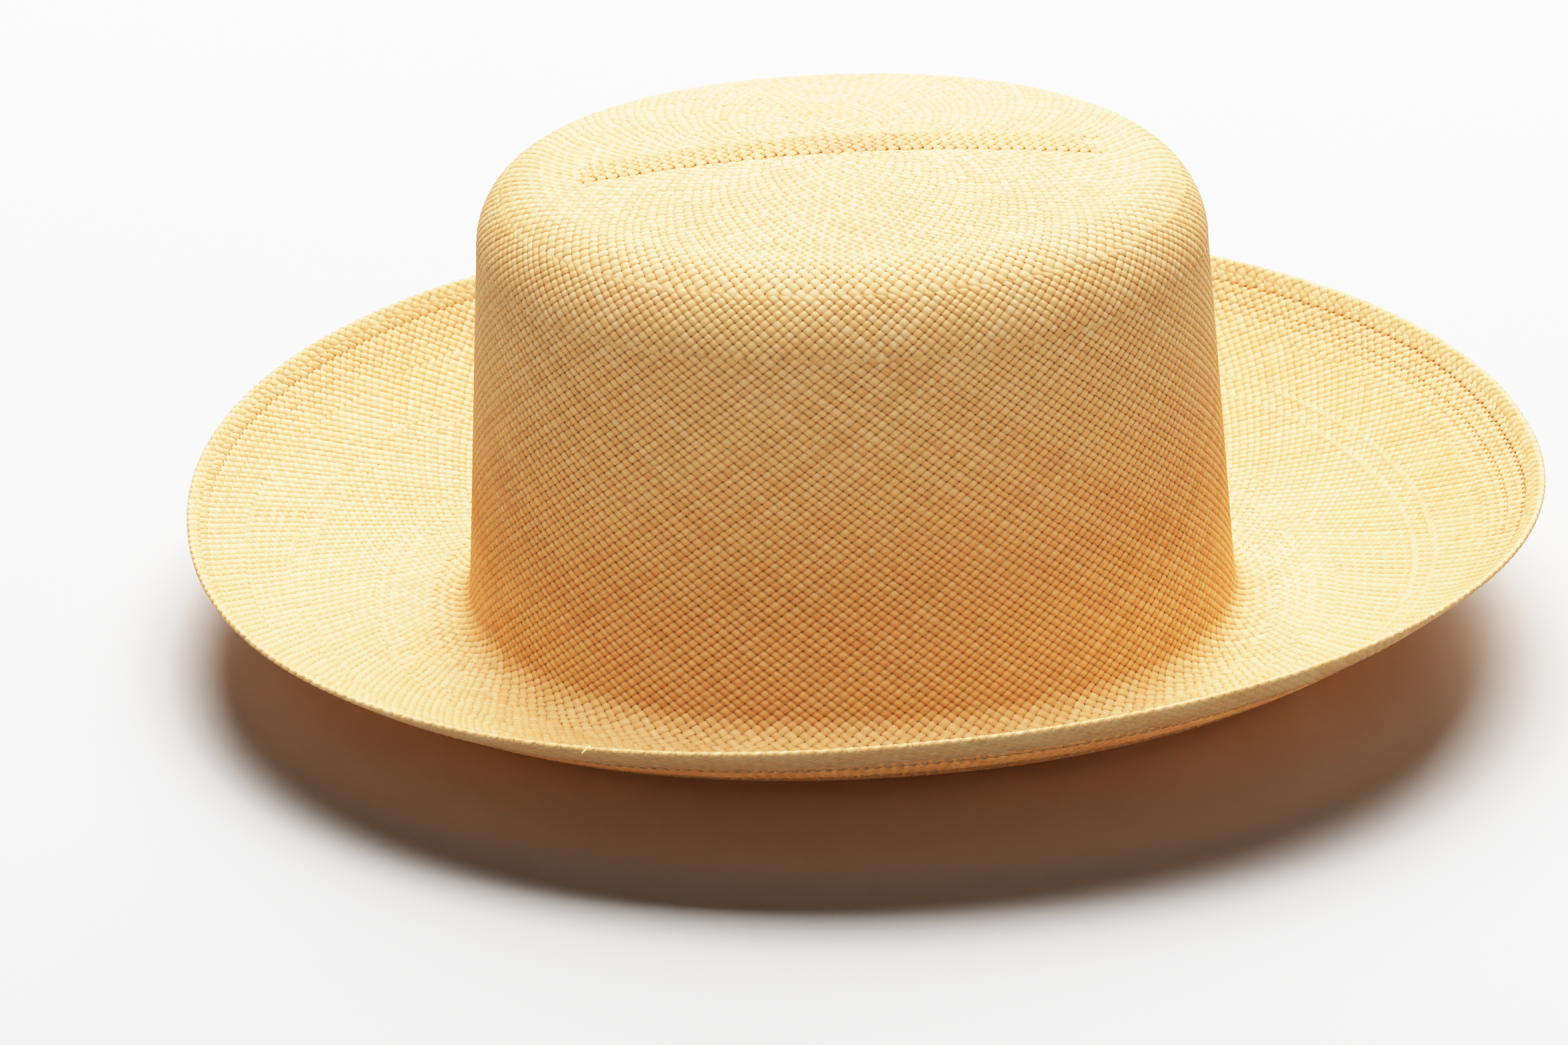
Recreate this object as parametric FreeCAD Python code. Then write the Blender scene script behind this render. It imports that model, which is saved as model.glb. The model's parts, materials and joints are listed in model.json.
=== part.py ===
import FreeCAD, Part
import math
import os

# Straw sun hat, hand plaited, standing on the floor the way it is put down: crown up, brim turned up.
# Millimetres. +Z is up, +X is the long way of the crown, and the origin is on the floor under the
# middle of the brim. The hat rests on the flat ring where the crown turns out into the brim.

Vector = FreeCAD.Vector
os.makedirs("parts", exist_ok=True)

# ---- plaited body
BODY_THICKNESS = 1.2            # two straws, one over the other
OVAL_POWER = 2.12               # a head oval is a little fuller than an ellipse

CROWN_OFFSET = (-3.2, -0.7)     # the crown stands slightly off the middle of the brim
CROWN_HEIGHT = 128.4            # floor to the top of the tip
CROWN_FOOT = (101.8, 85.8)      # half length and half width outside, at the foot of the wall
CROWN_TAPER = (0.0718, 0.0499)  # how much each half size loses per millimetre of height
CROWN_LEAN = -2.6               # the top leans this far along X
SHOULDER_RADIUS = 20.8
TIP_RISE = 5.3                  # dome of the tip above the shoulder
RIDGE_HEIGHT = 1.0              # the plaited strip that stands on the tip, fore and aft
RIDGE_HALF_WIDTH = 6.2
RIDGE_HALF_LENGTH = 72.0

FOOT_RADIUS = 6.0               # hollow corner between the wall and the brim
REST_WIDTH = 4.0                # flat ring that the hat stands on

BRIM_HALF = (176.4, 159.4)      # half length and half width of the whole brim
BRIM_LIFT = 35.4                # mean height of the rim above the floor
BRIM_CURL = 1.65                # power of the brim's upward curve
LIFT_WAVES = (                  # (turns per round, cosine part, sine part) of the rim's wander
    (1, 3.9, 1.3),
    (2, -1.9, -2.4),
)
BORDER_WIDTH = 16.5             # back-woven border with its rows of holes, seen from above
RIM_BRAID_WIDTH = 2.9           # plaited edge, seen from above
RIM_BRAID_THICKNESS = 2.0

# ---- sweatband, inside the foot of the crown
BAND_BOTTOM = 8.6
BAND_WIDTH = 38.0
BAND_THICKNESS = 1.0
BAND_GAP = 0.9                  # room behind the leather for the tapes
BACK_JOINT_GAP = 0.6            # the two ends of the leather meet at the back
REED_DIAMETER = 2.4
REED_TAPE_THICKNESS = 0.3
REED_TAPE_WIDTH = 9.0
THREAD_DIAMETER = 0.6
STITCH_LINE = 3.2               # height of the stitching above the leather's lower edge
JOINT_TAPE_WIDTH = 14.0
JOINT_TAPE_THICKNESS = 0.3
FIT_GAP = 0.05                  # hairline left between the wall, tape, leather and thread
ZIGZAG_TURNS = 9
ZIGZAG_WIDTH = 5.0
BOW_SPAN = 22.0
BOW_LOOP_HEIGHT = 8.0
BOW_THICKNESS = 2.4
BOW_KNOT = 5.0
BOW_HEIGHT = 9.0                # bow's middle above the leather's lower edge

OVAL_POINTS = 72                # points that an oval's smooth curve goes through
CORD_HALF_RINGS = 7             # rings that half a round cord's skin goes through
SHOULDER_TOP = CROWN_HEIGHT - TIP_RISE
SHOULDER_FOOT = SHOULDER_TOP - SHOULDER_RADIUS
FOOT_TOP = BODY_THICKNESS + FOOT_RADIUS
LEATHER_BACK = BODY_THICKNESS + BAND_GAP
LEATHER_FACE = LEATHER_BACK + BAND_THICKNESS


class Ring:
    """A closed oval: centre, half sizes, and a height that may change round it."""

    def __init__(self, centre, half, height):
        self.centre = centre
        self.half = half
        self.height = height

    def point(self, angle):
        c, s = math.cos(angle), math.sin(angle)
        power = 2.0 / OVAL_POWER
        x = self.centre[0] + self.half[0] * math.copysign(abs(c) ** power, c)
        y = self.centre[1] + self.half[1] * math.copysign(abs(s) ** power, s)
        z = self.height(angle) if callable(self.height) else self.height
        return Vector(x, y, z)

    def wire(self):
        points = [self.point(2 * math.pi * i / OVAL_POINTS) for i in range(OVAL_POINTS)]
        curve = Part.BSplineCurve()
        curve.interpolate(Points=points, PeriodicFlag=True)
        return Part.Wire(curve.toShape())


def crown_ring(height, inset=0.0, drop=0.0):
    """Oval of the crown's outside at a height, moved in by inset and down by drop."""
    lean = CROWN_LEAN * height / CROWN_HEIGHT
    centre = (CROWN_OFFSET[0] + lean, CROWN_OFFSET[1])
    half = tuple(CROWN_FOOT[k] - CROWN_TAPER[k] * height - inset for k in (0, 1))
    return Ring(centre, half, height - drop)


def shoulder_ring(turn, depth):
    """Ring on the shoulder's round, turn from 0 at the wall to 1 at the tip, depth under the skin."""
    angle = turn * math.pi / 2
    radius = SHOULDER_RADIUS - depth
    ring = crown_ring(SHOULDER_FOOT, inset=SHOULDER_RADIUS - radius * math.cos(angle))
    ring.height = SHOULDER_FOOT + radius * math.sin(angle)
    return ring


def tip_ring(share, depth):
    """Ring on the domed tip, share from 0 at the shoulder to near 1 at the middle."""
    ring = crown_ring(SHOULDER_FOOT, inset=SHOULDER_RADIUS)
    half = tuple(value * (1 - share) for value in ring.half)
    rise = TIP_RISE * (1 - (1 - share) ** 2)
    return Ring(ring.centre, half, SHOULDER_TOP + rise - depth)


def tip_centre(depth):
    ring = crown_ring(SHOULDER_FOOT)
    return Vector(ring.centre[0], ring.centre[1], CROWN_HEIGHT - depth)


def foot_ring(turn, depth):
    """Ring on the hollow corner at the foot, turn from 0 at the wall to 1 at the flat."""
    angle = turn * math.pi / 2
    radius = FOOT_RADIUS + depth
    half = tuple(value + FOOT_RADIUS - radius * math.cos(angle) for value in CROWN_FOOT)
    return Ring(CROWN_OFFSET, half, FOOT_TOP - radius * math.sin(angle))


def rest_half():
    return tuple(value + FOOT_RADIUS + REST_WIDTH for value in CROWN_FOOT)


def brim_run():
    """How far the brim reaches, seen from above, from the flat ring to the rim."""
    inner = rest_half()
    return sum(BRIM_HALF[k] - inner[k] for k in (0, 1)) / 2


def brim_ring(share, depth):
    """Ring on the brim, share from 0 at the flat ring to 1 at the rim, depth under the upper skin."""
    inner = rest_half()
    slope = BRIM_CURL * BRIM_LIFT * share ** (BRIM_CURL - 1) / brim_run()
    tilt = math.atan(slope)
    centre = tuple(CROWN_OFFSET[k] * (1 - share) for k in (0, 1))
    half = tuple(inner[k] + (BRIM_HALF[k] - inner[k]) * share + depth * math.sin(tilt) for k in (0, 1))

    def height(angle):
        lift = BRIM_LIFT
        for turns, cosine, sine in LIFT_WAVES:
            lift += cosine * math.cos(turns * angle) + sine * math.sin(turns * angle)
        return BODY_THICKNESS + lift * share ** BRIM_CURL - depth * math.cos(tilt)

    return Ring(centre, half, height)


def spread(first, last, count):
    return [first + (last - first) * i / (count - 1) for i in range(count)]


def skin(rings, end=None):
    """Smooth face through a row of rings, closed to a point when an end vertex is given."""
    profiles = [ring.wire() for ring in rings]
    if end is not None:
        profiles.append(Part.Vertex(end))
    return Part.makeLoft(profiles, False, False)


def band(ring_a, ring_b):
    return Part.makeRuledSurface(ring_a.wire().Edges[0], ring_b.wire().Edges[0])


def flat_ring(outer, inner):
    return Part.Face([outer.wire(), inner.wire()], "Part::FaceMakerBullseye")


def closed_solid(pieces):
    """One solid from faces that meet edge to edge."""
    faces = [face for piece in pieces for face in piece.Faces]
    sewn = Part.makeShell(faces)
    sewn.sewShape()
    shell = sewn if sewn.ShapeType == "Shell" else sewn.Shells[0]
    solid = Part.Solid(shell)
    if solid.Volume < 0:
        solid.reverse()
    return solid


def one_solid(shape):
    """The single solid of a boolean's result."""
    if len(shape.Solids) != 1:
        raise ValueError("expected one solid, got " + str(len(shape.Solids)))
    return shape.Solids[0]


def hollow_band(outer_rings, inner_rings):
    """A ring-shaped shell between two skins."""
    return closed_solid([
        skin(outer_rings),
        skin(inner_rings),
        band(outer_rings[0], inner_rings[0]),
        band(outer_rings[-1], inner_rings[-1]),
    ])


def dome(top_depth, bottom_depth):
    """Shoulder and domed tip between two depths under the outer skin."""
    turns = spread(0.0, 1.0, 6)
    shares = spread(0.0, 0.9, 5)[1:]

    def rings(depth):
        return [shoulder_ring(turn, depth) for turn in turns] + [tip_ring(share, depth) for share in shares]

    upper = rings(top_depth)
    lower = rings(bottom_depth)
    return closed_solid([
        skin(upper, tip_centre(top_depth)),
        skin(lower, tip_centre(bottom_depth)),
        band(upper[0], lower[0]),
    ])


def crown_tip():
    """Rounded shoulder and domed tip."""
    return dome(0.0, BODY_THICKNESS)


def crown_ridge():
    """Straight plaited strip that stands on the tip, fore and aft."""
    centre = tip_centre(0.0)
    corner = Vector(centre.x - RIDGE_HALF_LENGTH, centre.y - RIDGE_HALF_WIDTH, SHOULDER_FOOT)
    strip = Part.makeBox(2 * RIDGE_HALF_LENGTH, 2 * RIDGE_HALF_WIDTH, CROWN_HEIGHT, corner)
    return one_solid(dome(-RIDGE_HEIGHT, 0.0).common(strip))


def crown_wall():
    heights = spread(SHOULDER_FOOT, FOOT_TOP, 3)
    outer = [crown_ring(height) for height in heights]
    inner = [crown_ring(height, inset=BODY_THICKNESS) for height in heights]
    return hollow_band(outer, inner)


def brim():
    """Hollow corner, flat ring and the dished brim, up to the border."""
    border_start = 1 - (BORDER_WIDTH + RIM_BRAID_WIDTH) / brim_run()
    turns = spread(0.0, 1.0, 5)
    shares = spread(0.0, border_start, 5)
    upper_foot = [foot_ring(turn, 0.0) for turn in turns]
    lower_foot = [foot_ring(turn, BODY_THICKNESS) for turn in turns]
    upper_dish = [brim_ring(share, 0.0) for share in shares]
    lower_dish = [brim_ring(share, BODY_THICKNESS) for share in shares]
    return closed_solid([
        skin(upper_foot),
        skin(lower_foot),
        flat_ring(upper_dish[0], upper_foot[-1]),
        flat_ring(lower_dish[0], lower_foot[-1]),
        skin(upper_dish),
        skin(lower_dish),
        band(upper_foot[0], lower_foot[0]),
        band(upper_dish[-1], lower_dish[-1]),
    ])


def brim_border():
    start = 1 - (BORDER_WIDTH + RIM_BRAID_WIDTH) / brim_run()
    end = 1 - RIM_BRAID_WIDTH / brim_run()
    shares = spread(start, end, 3)
    upper = [brim_ring(share, 0.0) for share in shares]
    lower = [brim_ring(share, BODY_THICKNESS) for share in shares]
    return hollow_band(upper, lower)


def rim_braid():
    start = 1 - RIM_BRAID_WIDTH / brim_run()
    proud = (RIM_BRAID_THICKNESS - BODY_THICKNESS) / 2
    shares = (start, 1.0)
    upper = [brim_ring(share, -proud) for share in shares]
    lower = [brim_ring(share, BODY_THICKNESS + proud) for share in shares]
    return hollow_band(upper, lower)


def inner_band(bottom, top, outer_inset, thickness):
    """Ring of leather or tape that follows the inside of the crown wall."""
    heights = spread(bottom, top, 3)
    outer = [crown_ring(height, inset=outer_inset) for height in heights]
    inner = [crown_ring(height, inset=outer_inset + thickness) for height in heights]
    return hollow_band(outer, inner)


def oval_cord(height, inset, diameter):
    """Round cord that runs once round the inside of the crown."""
    halves = []
    for start in (0.0, math.pi):
        rings = []
        for angle in spread(start, start + math.pi, CORD_HALF_RINGS):
            reach = diameter / 2 * math.cos(angle)
            rise = diameter / 2 * math.sin(angle)
            rings.append(crown_ring(height, inset=inset - reach, drop=-rise))
        halves.append(skin(rings))
    return closed_solid(halves)


def back_point(height, inset, y):
    """Point on the inside of the crown's back, y from the middle of the back."""
    ring = crown_ring(height, inset=inset)
    share = (1 - abs(y / ring.half[1]) ** OVAL_POWER) ** (1 / OVAL_POWER)
    return Vector(ring.centre[0] - ring.half[0] * share, ring.centre[1] + y, height)


def back_box(half_width, bottom, top):
    """Box across the back of the crown, used to cut a strip out of a ring."""
    reach = CROWN_FOOT[0] / 2
    corner = Vector(CROWN_OFFSET[0] - CROWN_FOOT[0] - reach / 2, CROWN_OFFSET[1] - half_width, bottom)
    return Part.makeBox(reach, 2 * half_width, top - bottom, corner)


def sweatband():
    top = BAND_BOTTOM + BAND_WIDTH
    leather = inner_band(BAND_BOTTOM, top, LEATHER_BACK, BAND_THICKNESS)
    return one_solid(leather.cut(back_box(BACK_JOINT_GAP / 2, 0.0, top + 1)))


def sweatband_reed():
    middle = LEATHER_BACK + BAND_THICKNESS / 2
    return oval_cord(BAND_BOTTOM - REED_DIAMETER / 2, middle, REED_DIAMETER)


def reed_tape():
    inset = BODY_THICKNESS + FIT_GAP
    return inner_band(BAND_BOTTOM, BAND_BOTTOM + REED_TAPE_WIDTH, inset, REED_TAPE_THICKNESS)


def sweatband_stitching():
    inset = LEATHER_FACE + FIT_GAP + THREAD_DIAMETER / 2
    return oval_cord(BAND_BOTTOM + STITCH_LINE, inset, THREAD_DIAMETER)


def joint_tape():
    """Short tape behind the leather, across the joint at the back."""
    top = BAND_BOTTOM + BAND_WIDTH
    inset = LEATHER_BACK - FIT_GAP - JOINT_TAPE_THICKNESS
    ring = inner_band(BAND_BOTTOM, top, inset, JOINT_TAPE_THICKNESS)
    return one_solid(ring.common(back_box(JOINT_TAPE_WIDTH / 2, 0.0, top + 1)))


def joint_zigzag():
    """Zigzag thread over the joint, from just above the bow to near the top of the leather."""
    radius = THREAD_DIAMETER / 2
    bottom = BAND_BOTTOM + BOW_HEIGHT + BOW_LOOP_HEIGHT / 2 + THREAD_DIAMETER
    top = BAND_BOTTOM + BAND_WIDTH - 2 * THREAD_DIAMETER
    points = []
    for step, height in enumerate(spread(bottom, top, 2 * ZIGZAG_TURNS)):
        side = -1 if step % 2 else 1
        points.append(back_point(height, LEATHER_FACE + FIT_GAP + radius, side * ZIGZAG_WIDTH / 2))
    pieces = [Part.makeSphere(radius, point) for point in points]
    for start, end in zip(points, points[1:]):
        run = end - start
        pieces.append(Part.makeCylinder(radius, run.Length, start, run))
    return one_solid(pieces[0].multiFuse(pieces[1:]).removeSplitter())


def sweatband_bow():
    """Small flat ribbon bow on the leather's face, over the joint."""
    middle = BAND_BOTTOM + BOW_HEIGHT
    tip_back = back_point(middle, LEATHER_FACE + FIT_GAP, BOW_SPAN / 2).x
    y = CROWN_OFFSET[1]
    pieces = []
    for side in (-1, 1):
        outline = [
            Vector(tip_back, y, middle + BOW_KNOT / 3),
            Vector(tip_back, y + side * BOW_SPAN / 2, middle + BOW_LOOP_HEIGHT / 2),
            Vector(tip_back, y + side * BOW_SPAN / 2, middle - BOW_LOOP_HEIGHT / 2),
            Vector(tip_back, y, middle - BOW_KNOT / 3),
        ]
        loop = Part.Face(Part.makePolygon(outline + outline[:1]))
        pieces.append(loop.extrude(Vector(BOW_THICKNESS, 0, 0)))
    knot_back = back_point(middle, LEATHER_FACE + FIT_GAP, 0.0).x
    depth = tip_back - knot_back + BOW_THICKNESS + THREAD_DIAMETER
    corner = Vector(knot_back, y - BOW_KNOT / 2, middle - BOW_KNOT / 2)
    knot = Part.makeBox(depth, BOW_KNOT, BOW_KNOT, corner)
    return one_solid(knot.multiFuse(pieces).removeSplitter())


PARTS = {
    "crown_tip": crown_tip,
    "crown_ridge": crown_ridge,
    "crown_wall": crown_wall,
    "brim": brim,
    "brim_border": brim_border,
    "rim_braid": rim_braid,
    "sweatband": sweatband,
    "sweatband_reed": sweatband_reed,
    "reed_tape": reed_tape,
    "sweatband_stitching": sweatband_stitching,
    "joint_tape": joint_tape,
    "joint_zigzag": joint_zigzag,
    "sweatband_bow": sweatband_bow,
}

for node, make in PARTS.items():
    shape = make()
    print(node, shape.ShapeType, shape.isValid(), shape.isClosed(), round(shape.Volume), shape.BoundBox)
    shape.exportStep("parts/" + node + ".step")
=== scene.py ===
import json
import math

import bpy
import numpy as np
from mathutils import Matrix, Vector

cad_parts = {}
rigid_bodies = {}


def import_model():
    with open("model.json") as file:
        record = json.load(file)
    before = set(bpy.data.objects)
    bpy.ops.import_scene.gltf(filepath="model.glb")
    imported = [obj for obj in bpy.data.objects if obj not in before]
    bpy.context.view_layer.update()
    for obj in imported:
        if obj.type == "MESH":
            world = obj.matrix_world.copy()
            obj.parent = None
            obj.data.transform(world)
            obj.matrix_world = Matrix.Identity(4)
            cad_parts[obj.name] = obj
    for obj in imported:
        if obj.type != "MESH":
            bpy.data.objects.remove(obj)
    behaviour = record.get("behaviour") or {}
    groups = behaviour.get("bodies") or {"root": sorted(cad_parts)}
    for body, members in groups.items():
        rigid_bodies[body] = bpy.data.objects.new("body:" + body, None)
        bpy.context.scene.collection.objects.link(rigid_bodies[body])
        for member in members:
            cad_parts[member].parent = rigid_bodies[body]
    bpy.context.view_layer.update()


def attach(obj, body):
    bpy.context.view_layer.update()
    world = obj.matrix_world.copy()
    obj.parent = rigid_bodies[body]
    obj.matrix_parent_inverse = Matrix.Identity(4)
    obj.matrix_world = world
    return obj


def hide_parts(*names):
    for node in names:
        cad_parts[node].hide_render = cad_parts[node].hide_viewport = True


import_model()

# A hand-plaited straw sun hat. Every straw is its own closed ribbon, woven over and under the others on
# the hat's surface. Lengths are in millimetres until a mesh is made.
MM = 0.001
TURN = 2 * math.pi

# ---- the shape of the plaited body, as in the CAD. A pair is fore and aft, then across
BODY_THICKNESS = 1.2
OVAL_POWER = 2.12
CROWN_OFFSET = np.array([-3.2, -0.7])
CROWN_HEIGHT = 128.4
CROWN_FOOT = np.array([101.8, 85.8])
CROWN_TAPER = np.array([0.0718, 0.0499])
CROWN_LEAN = -2.6
SHOULDER_RADIUS = 20.8
TIP_RISE = 5.3
FOOT_RADIUS = 6.0
REST_WIDTH = 4.0
BRIM_HALF = np.array([176.4, 159.4])
BRIM_LIFT = 35.4
BRIM_CURL = 1.65
LIFT_WAVES = ((1, 3.9, 1.3), (2, -1.9, -2.4))
SHOULDER_TOP = CROWN_HEIGHT - TIP_RISE
SHOULDER_FOOT = SHOULDER_TOP - SHOULDER_RADIUS
MIDDLE = BODY_THICKNESS / 2
STRIP_HALF = (72.0, 6.4)  # the straight strip that the plaiting starts from
STRIP_BED = 0.7  # how far the tip's own straws pass underneath it
STRIP_BED_EASE = (9.0, 1.6)  # how long the bed's slopes are at the strip's ends and at its sides
EDGE_ROUND = 0.5  # radius that the straws turn round at the rim
EDGE_BLEND = 6.0  # the last stretch of brim rises towards the top of the rim
FLAP_WIDTH = 11.0  # how far the straws come back underneath

# ---- how finely the body's profile is sampled
TIP_STEPS = 160
SHOULDER_STEPS = 90
WALL_STEPS = 120
FOOT_STEPS = 40
REST_STEPS = 14
BRIM_STEPS = 230
EDGE_STEPS = 14
FLAP_STEPS = 24
ZONE_STEPS = 300

# ---- the straws
STRAW_THICKNESS = 0.36
STRAW_WAVE = 0.24  # how far a straw's middle moves up and down as it is woven
STRAW_CURL = 0.8  # how far an upper straw's edges turn down, as a share of the wave
TUCK = -0.34  # height of a straw's hidden end

# ---- the sweatband and its trims, as in the CAD
BAND_BOTTOM = 8.6
BAND_WIDTH = 38.0
LEATHER_BACK = 2.1
LEATHER_FACE = 3.1
BACK_JOINT_GAP = 0.6
REED_DIAMETER = 2.4
TAPE_THICKNESS = 0.3
REED_TAPE_WIDTH = 9.0
JOINT_TAPE_WIDTH = 14.0
BAND_GIRTH = 560.0  # rounded; turns small distances along it into shares of a turn
BAND_STEPS = 480
TAPE_STEPS = 420
FIT_GAP = 0.05
THREAD_RADIUS = 0.3
STITCH_LINE = 3.2
STITCHES = 132
ZIGZAG_TURNS = 9
ZIGZAG_WIDTH = 5.0
BOW_SPAN = 22.0
BOW_LOOP_HEIGHT = 8.0
BOW_THICKNESS = 2.4
BOW_KNOT = 5.0
BOW_HEIGHT = 9.0
RIBBON_THICKNESS = 0.3


# ======== small sums
def ease(share):
    """0 to 1 with a soft start and a soft end."""
    return share * share * (3 - 2 * share)


def signed_power(value, power):
    """The power of a number's size, with the number's sign."""
    return np.sign(value) * np.abs(value) ** power


def unit(vectors):
    return vectors / np.linalg.norm(vectors, axis=-1, keepdims=True)


def run_along(path):
    """Distance from a path's first point to each of its points."""
    return np.concatenate([[0], np.cumsum(np.linalg.norm(np.diff(path, axis=0), axis=1))])


def add_object(name, data):
    made = bpy.data.objects.new(name, data)
    bpy.context.scene.collection.objects.link(made)
    return made


def belongs(piece, slot, *nodes):
    """Puts a piece on the one body, in place of these CAD nodes."""
    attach(piece, "root")
    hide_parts(*nodes)


# ======== the surface that the straws follow
def crown_half(height):
    return CROWN_FOOT - CROWN_TAPER * height


def crown_centre(height):
    return CROWN_OFFSET[0] + CROWN_LEAN * height / CROWN_HEIGHT, CROWN_OFFSET[1]


def brim_run():
    return (BRIM_HALF - CROWN_FOOT - FOOT_RADIUS - REST_WIDTH).sum() / 2


def brim_row(share, depth):
    """Oval on the brim: (centre x, centre y, half x, half y, height, share of the rim's wander)."""
    tilt = math.atan(BRIM_CURL * BRIM_LIFT * max(share, 1e-6) ** (BRIM_CURL - 1) / brim_run())
    inner = CROWN_FOOT + FOOT_RADIUS + REST_WIDTH
    half = inner + (BRIM_HALF - inner) * share + depth * math.sin(tilt)
    centre = CROWN_OFFSET * (1 - share)
    rise = share ** BRIM_CURL
    return (*centre, *half, BODY_THICKNESS + BRIM_LIFT * rise - depth * math.cos(tilt), rise)


def profile():
    """Ovals from the middle of the tip to the rim, round it and back underneath, with named marks."""
    rows, marks = [], {}
    centre = crown_centre(SHOULDER_FOOT)
    half = crown_half(SHOULDER_FOOT) - SHOULDER_RADIUS
    for share in np.linspace(0.01, 1.0, TIP_STEPS)[:-1]:
        height = SHOULDER_TOP + TIP_RISE * (1 - share ** 2) - MIDDLE
        rows.append((*centre, *(half * share), height, 0.0))
    marks["shoulder"] = len(rows)
    radius = SHOULDER_RADIUS - MIDDLE
    for turn in np.linspace(1.0, 0.0, SHOULDER_STEPS)[:-1]:
        inset = SHOULDER_RADIUS - radius * math.cos(turn * math.pi / 2)
        size = crown_half(SHOULDER_FOOT) - inset
        rows.append((*centre, *size, SHOULDER_FOOT + radius * math.sin(turn * math.pi / 2), 0.0))
    marks["wall"] = len(rows)
    foot_top = BODY_THICKNESS + FOOT_RADIUS
    for height in np.linspace(SHOULDER_FOOT, foot_top, WALL_STEPS)[:-1]:
        rows.append((*crown_centre(height), *(crown_half(height) - MIDDLE), height, 0.0))
    radius = FOOT_RADIUS + MIDDLE
    lean = crown_centre(foot_top)[0] - CROWN_OFFSET[0]
    taper = CROWN_TAPER * foot_top
    for turn in np.linspace(0.0, 1.0, FOOT_STEPS)[:-1]:
        fade = 1 - turn
        out = FOOT_RADIUS - radius * math.cos(turn * math.pi / 2)
        size = CROWN_FOOT + out - taper * fade
        height = foot_top - radius * math.sin(turn * math.pi / 2)
        rows.append((CROWN_OFFSET[0] + lean * fade, CROWN_OFFSET[1], *size, height, 0.0))
    for step in np.linspace(0.0, REST_WIDTH, REST_STEPS)[:-1]:
        rows.append((*CROWN_OFFSET, *(CROWN_FOOT + FOOT_RADIUS + step), MIDDLE, 0.0))
    marks["brim"] = len(rows)
    upper = MIDDLE - EDGE_ROUND
    for share in np.linspace(0.0, 1.0, BRIM_STEPS):
        near = max(0.0, 1 - (1 - share) * brim_run() / EDGE_BLEND)
        rows.append(brim_row(share, MIDDLE + (upper - MIDDLE) * ease(near)))
    marks["rim"] = len(rows) - 1
    tilt = math.atan(BRIM_CURL * BRIM_LIFT / brim_run())
    rim = brim_row(1.0, MIDDLE)
    for turn in np.linspace(0.0, 1.0, EDGE_STEPS)[1:-1]:
        angle = math.pi / 2 - turn * math.pi
        out, up = EDGE_ROUND * math.cos(angle), EDGE_ROUND * math.sin(angle)
        move = out * math.cos(tilt) - up * math.sin(tilt)
        rise = out * math.sin(tilt) + up * math.cos(tilt)
        rows.append((rim[0], rim[1], rim[2] + move, rim[3] + move, rim[4] + rise, rim[5]))
    for share in np.linspace(1.0, 1.0 - FLAP_WIDTH / brim_run(), FLAP_STEPS):
        rows.append(brim_row(share, MIDDLE + EDGE_ROUND))
    return np.array(rows), marks


def strip_share(x, y):
    """1 where the straight strip lies on the tip, easing to 0 at its edges."""
    centre = crown_centre(SHOULDER_FOOT)
    from_end = (STRIP_HALF[0] - np.abs(x - centre[0])) / STRIP_BED_EASE[0]
    from_side = (STRIP_HALF[1] - np.abs(y - centre[1])) / STRIP_BED_EASE[1]
    return ease(np.clip(np.minimum(from_end, from_side), 0, 1))


class Surface:
    """The middle of the plaited body as a grid: rows out from the tip, evenly spaced points round each."""

    ROUND = 900

    def __init__(self):
        rows, self.marks = profile()
        fine = np.linspace(0, TURN, 4 * self.ROUND + 1)
        power = 2 / OVAL_POWER
        unit_x, unit_y = signed_power(np.cos(fine), power), signed_power(np.sin(fine), power)
        wander = sum(a * np.cos(n * fine) + b * np.sin(n * fine) for n, a, b in LIFT_WAVES)
        even = np.linspace(0, 1, self.ROUND + 1)
        grid = np.empty((len(rows), self.ROUND + 1, 3))
        self.girth = np.empty(len(rows))
        for k, (cx, cy, hx, hy, height, share) in enumerate(rows):
            line = np.stack([cx + hx * unit_x, cy + hy * unit_y, height + share * wander], -1)
            run = run_along(line)
            self.girth[k] = run[-1]
            for axis in range(3):
                grid[k, :, axis] = np.interp(even * run[-1], run, line[:, axis])
        tip = grid[:self.marks["shoulder"]]
        tip[..., 2] -= STRIP_BED * strip_share(tip[..., 0], tip[..., 1])
        self.grid = grid
        steps = np.linalg.norm(np.diff(grid[:, :-1], axis=0), axis=2).mean(1)
        self.reach = np.concatenate([[0], np.cumsum(steps)])
        out = np.gradient(grid, axis=0)
        closed = np.concatenate([grid[:, -2:-1], grid, grid[:, 1:2]], axis=1)
        along = closed[:, 2:] - closed[:, :-2]
        self.normal = unit(np.cross(out, along))

    def at(self, mark):
        """Distance from the tip's middle to a mark."""
        return self.reach[self.marks[mark]]

    def reach_of_girth(self, girth):
        """Distance at which the upper surface has this girth."""
        last = self.marks["rim"] + 1
        return float(np.interp(girth, self.girth[:last], self.reach[:last]))

    def __call__(self, round_share, reach):
        """Points and normals at shares of a turn and distances from the tip's middle."""
        row = np.interp(reach, self.reach, np.arange(len(self.reach)))
        low = np.minimum(row.astype(int), len(self.reach) - 2)
        f = (row - low)[..., None]
        col = (round_share % 1.0) * self.ROUND
        left = np.minimum(col.astype(int), self.ROUND - 1)
        g = (col - left)[..., None]

        def mix(table):
            near = table[low, left] * (1 - g) + table[low, left + 1] * g
            far = table[low + 1, left] * (1 - g) + table[low + 1, left + 1] * g
            return near * (1 - f) + far * f

        return mix(self.grid), mix(self.normal)


# ======== straws
SECTION_X = np.array([-1.0, -0.58, 0.58, 1.0, 0.0])  # across the straw, shares of its half width
SECTION_TOP = np.array([0.0, 0.86, 0.86, 0.0, -1.0])  # shares of half its thickness
SECTION_EDGE = np.array([1.0, 0.12, 0.12, 1.0, 0.0])  # how much of the curl each point takes
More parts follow.
